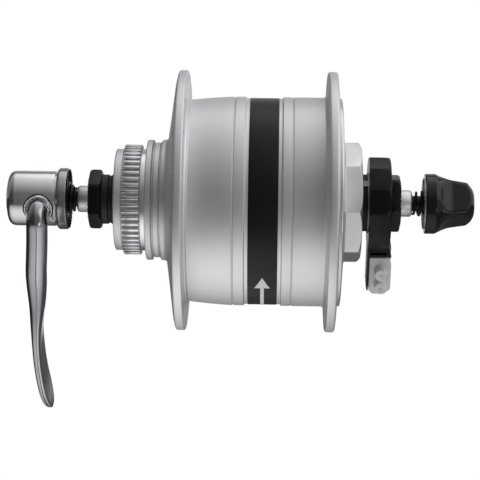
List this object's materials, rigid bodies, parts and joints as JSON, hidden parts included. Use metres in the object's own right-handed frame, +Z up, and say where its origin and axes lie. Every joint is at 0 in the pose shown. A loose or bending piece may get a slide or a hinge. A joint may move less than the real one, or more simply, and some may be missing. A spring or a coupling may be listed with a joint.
{
  "type": "hub dynamo",
  "caption": "Bicycle front hub dynamo with drilled spoke flanges, splined disc mount, pull-off lamp connector and quick-release skewer.",
  "frame": {"origin": "on the axle's axis, midway between the outer faces of the two locknuts", "axes": "+X along the axle towards the connector side, -X towards the disc mount and the lever, +Z up, -Y towards the front of the picture"},
  "size_m": [0.1513, 0.084, 0.1104],
  "materials": {
    "shell_alloy": "satin clear anodised",
    "polished_alloy": "polished",
    "bright_steel": "bright plated",
    "bearing_steel": "ground",
    "black_steel": "black oxide",
    "spring_steel": "black",
    "black_rubber": "matt",
    "black_plastic": "moulded",
    "grey_plastic": "moulded",
    "label_film": "printed film",
    "soft_iron": "zinc passivated",
    "magnet_ferrite": "sintered",
    "white_nylon": "moulded",
    "copper_wire": "enamelled",
    "contact_brass": "bright"
  },
  "bodies": {
    "axle": {"axle": "bright_steel", "left_locknut": "black_steel", "right_locknut": "black_steel", "left_cone": "bearing_steel", "right_cone": "bearing_steel", "left_dust_cap": "black_rubber", "right_dust_cap": "black_rubber", "tab_washer": "bright_steel", "stator_core": "soft_iron", "coil_bobbin": "white_nylon", "coil_winding": "copper_wire", "left_claw_yoke": "soft_iron", "right_claw_yoke": "soft_iron", "stator_nuts": "bright_steel", "lead_wire": "copper_wire", "terminal_housing": "black_plastic", "terminal_contacts": "contact_brass", "left_spring": "spring_steel"},
    "shell": {"hub_shell": "shell_alloy", "end_cap": "shell_alloy", "label_band": "label_film", "back_iron_ring": "soft_iron", "rotor_magnets": "magnet_ferrite", "left_cup": "bearing_steel", "right_cup": "bearing_steel", "left_seal": "black_rubber", "right_seal": "black_rubber", "cap_gasket": "black_rubber"},
    "left_bearing": {"left_balls": "bearing_steel", "left_ball_cage": "contact_brass"},
    "right_bearing": {"right_balls": "bearing_steel", "right_ball_cage": "contact_brass"},
    "lever_body": {"lever_housing": "polished_alloy", "lever_collar": "polished_alloy"},
    "lever": {"lever_arm": "polished_alloy", "lever_cam": "bright_steel"},
    "skewer": {"skewer_rod": "bright_steel"},
    "nut_carrier": {"right_spring": "spring_steel"},
    "nut": {"nut_cover": "black_plastic", "nut_insert": "bright_steel"},
    "plug": {"connector_plug": "grey_plastic"}
  },
  "joints": [
    {"name": "shell_spin", "type": "hinge", "parent": "axle", "child": "shell", "pos_m": [0, 0, 0], "axis": [1, 0, 0], "continuous": true},
    {"name": "left_ball_orbit", "type": "hinge", "parent": "axle", "child": "left_bearing", "pos_m": [0, 0, 0], "axis": [1, 0, 0], "continuous": true},
    {"name": "right_ball_orbit", "type": "hinge", "parent": "axle", "child": "right_bearing", "pos_m": [0, 0, 0], "axis": [1, 0, 0], "continuous": true},
    {"name": "skewer_swivel", "type": "hinge", "parent": "axle", "child": "lever_body", "pos_m": [0, 0, 0], "axis": [1, 0, 0], "continuous": true},
    {"name": "lever_throw", "type": "hinge", "parent": "lever_body", "child": "lever", "pos_m": [-0.0659, 0, 0], "axis": [0, 0.9063, 0.4226], "range_deg": [0, 180]},
    {"name": "rod_pull", "type": "slide", "parent": "lever_body", "child": "skewer", "axis": [1, 0, 0], "range_m": [0, 0.002]},
    {"name": "nut_travel", "type": "slide", "parent": "skewer", "child": "nut_carrier", "axis": [1, 0, 0], "range_m": [-0.002, 0.004], "deforming": ["right_spring"]},
    {"name": "nut_turn", "type": "hinge", "parent": "nut_carrier", "child": "nut", "pos_m": [0.0576, 0, 0], "axis": [1, 0, 0], "range_deg": [-900, 1800]},
    {"name": "plug_pull", "type": "slide", "parent": "axle", "child": "plug", "axis": [0, 0.4226, -0.9063], "range_m": [0, 0.012]}
  ],
  "couplings": [
    {"joint": "left_ball_orbit", "follows": "shell_spin", "ratio": 0.6},
    {"joint": "right_ball_orbit", "follows": "shell_spin", "ratio": 0.6},
    {"joint": "rod_pull", "follows": "lever_throw", "m_per_rad": 0.00063662},
    {"joint": "nut_travel", "follows": "nut_turn", "m_per_rad": 0.00012732}
  ]
}
